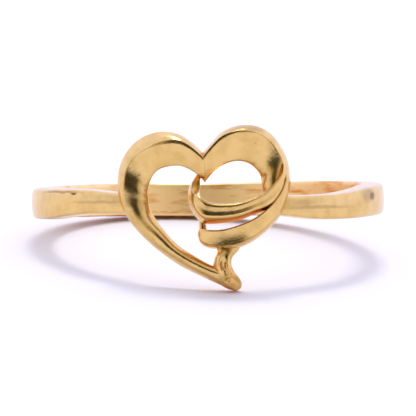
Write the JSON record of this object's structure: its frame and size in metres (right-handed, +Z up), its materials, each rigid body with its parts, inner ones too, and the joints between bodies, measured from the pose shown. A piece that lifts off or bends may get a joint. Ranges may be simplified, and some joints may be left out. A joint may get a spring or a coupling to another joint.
{
  "type": "finger ring",
  "caption": "Gold finger ring with a pierced heart of sweeping, overlapping ribbons on a plain tapered band, lying on its side.",
  "frame": {"origin": "middle of the footprint, on the floor that the ring lies on", "axes": "+Z up from the floor; the heart faces -Y; +X to the right as seen from the heart's front. The finger's axis leans 11 degrees from +Z, because the ring rests on the tip of the heart's tail and on the back of the band"},
  "size_m": [0.0194, 0.0202, 0.0089],
  "materials": {
    "gold": "polished 14 carat yellow gold, lightly worn"
  },
  "bodies": {
    "root": {"ring": "gold"}
  },
  "joints": []
}
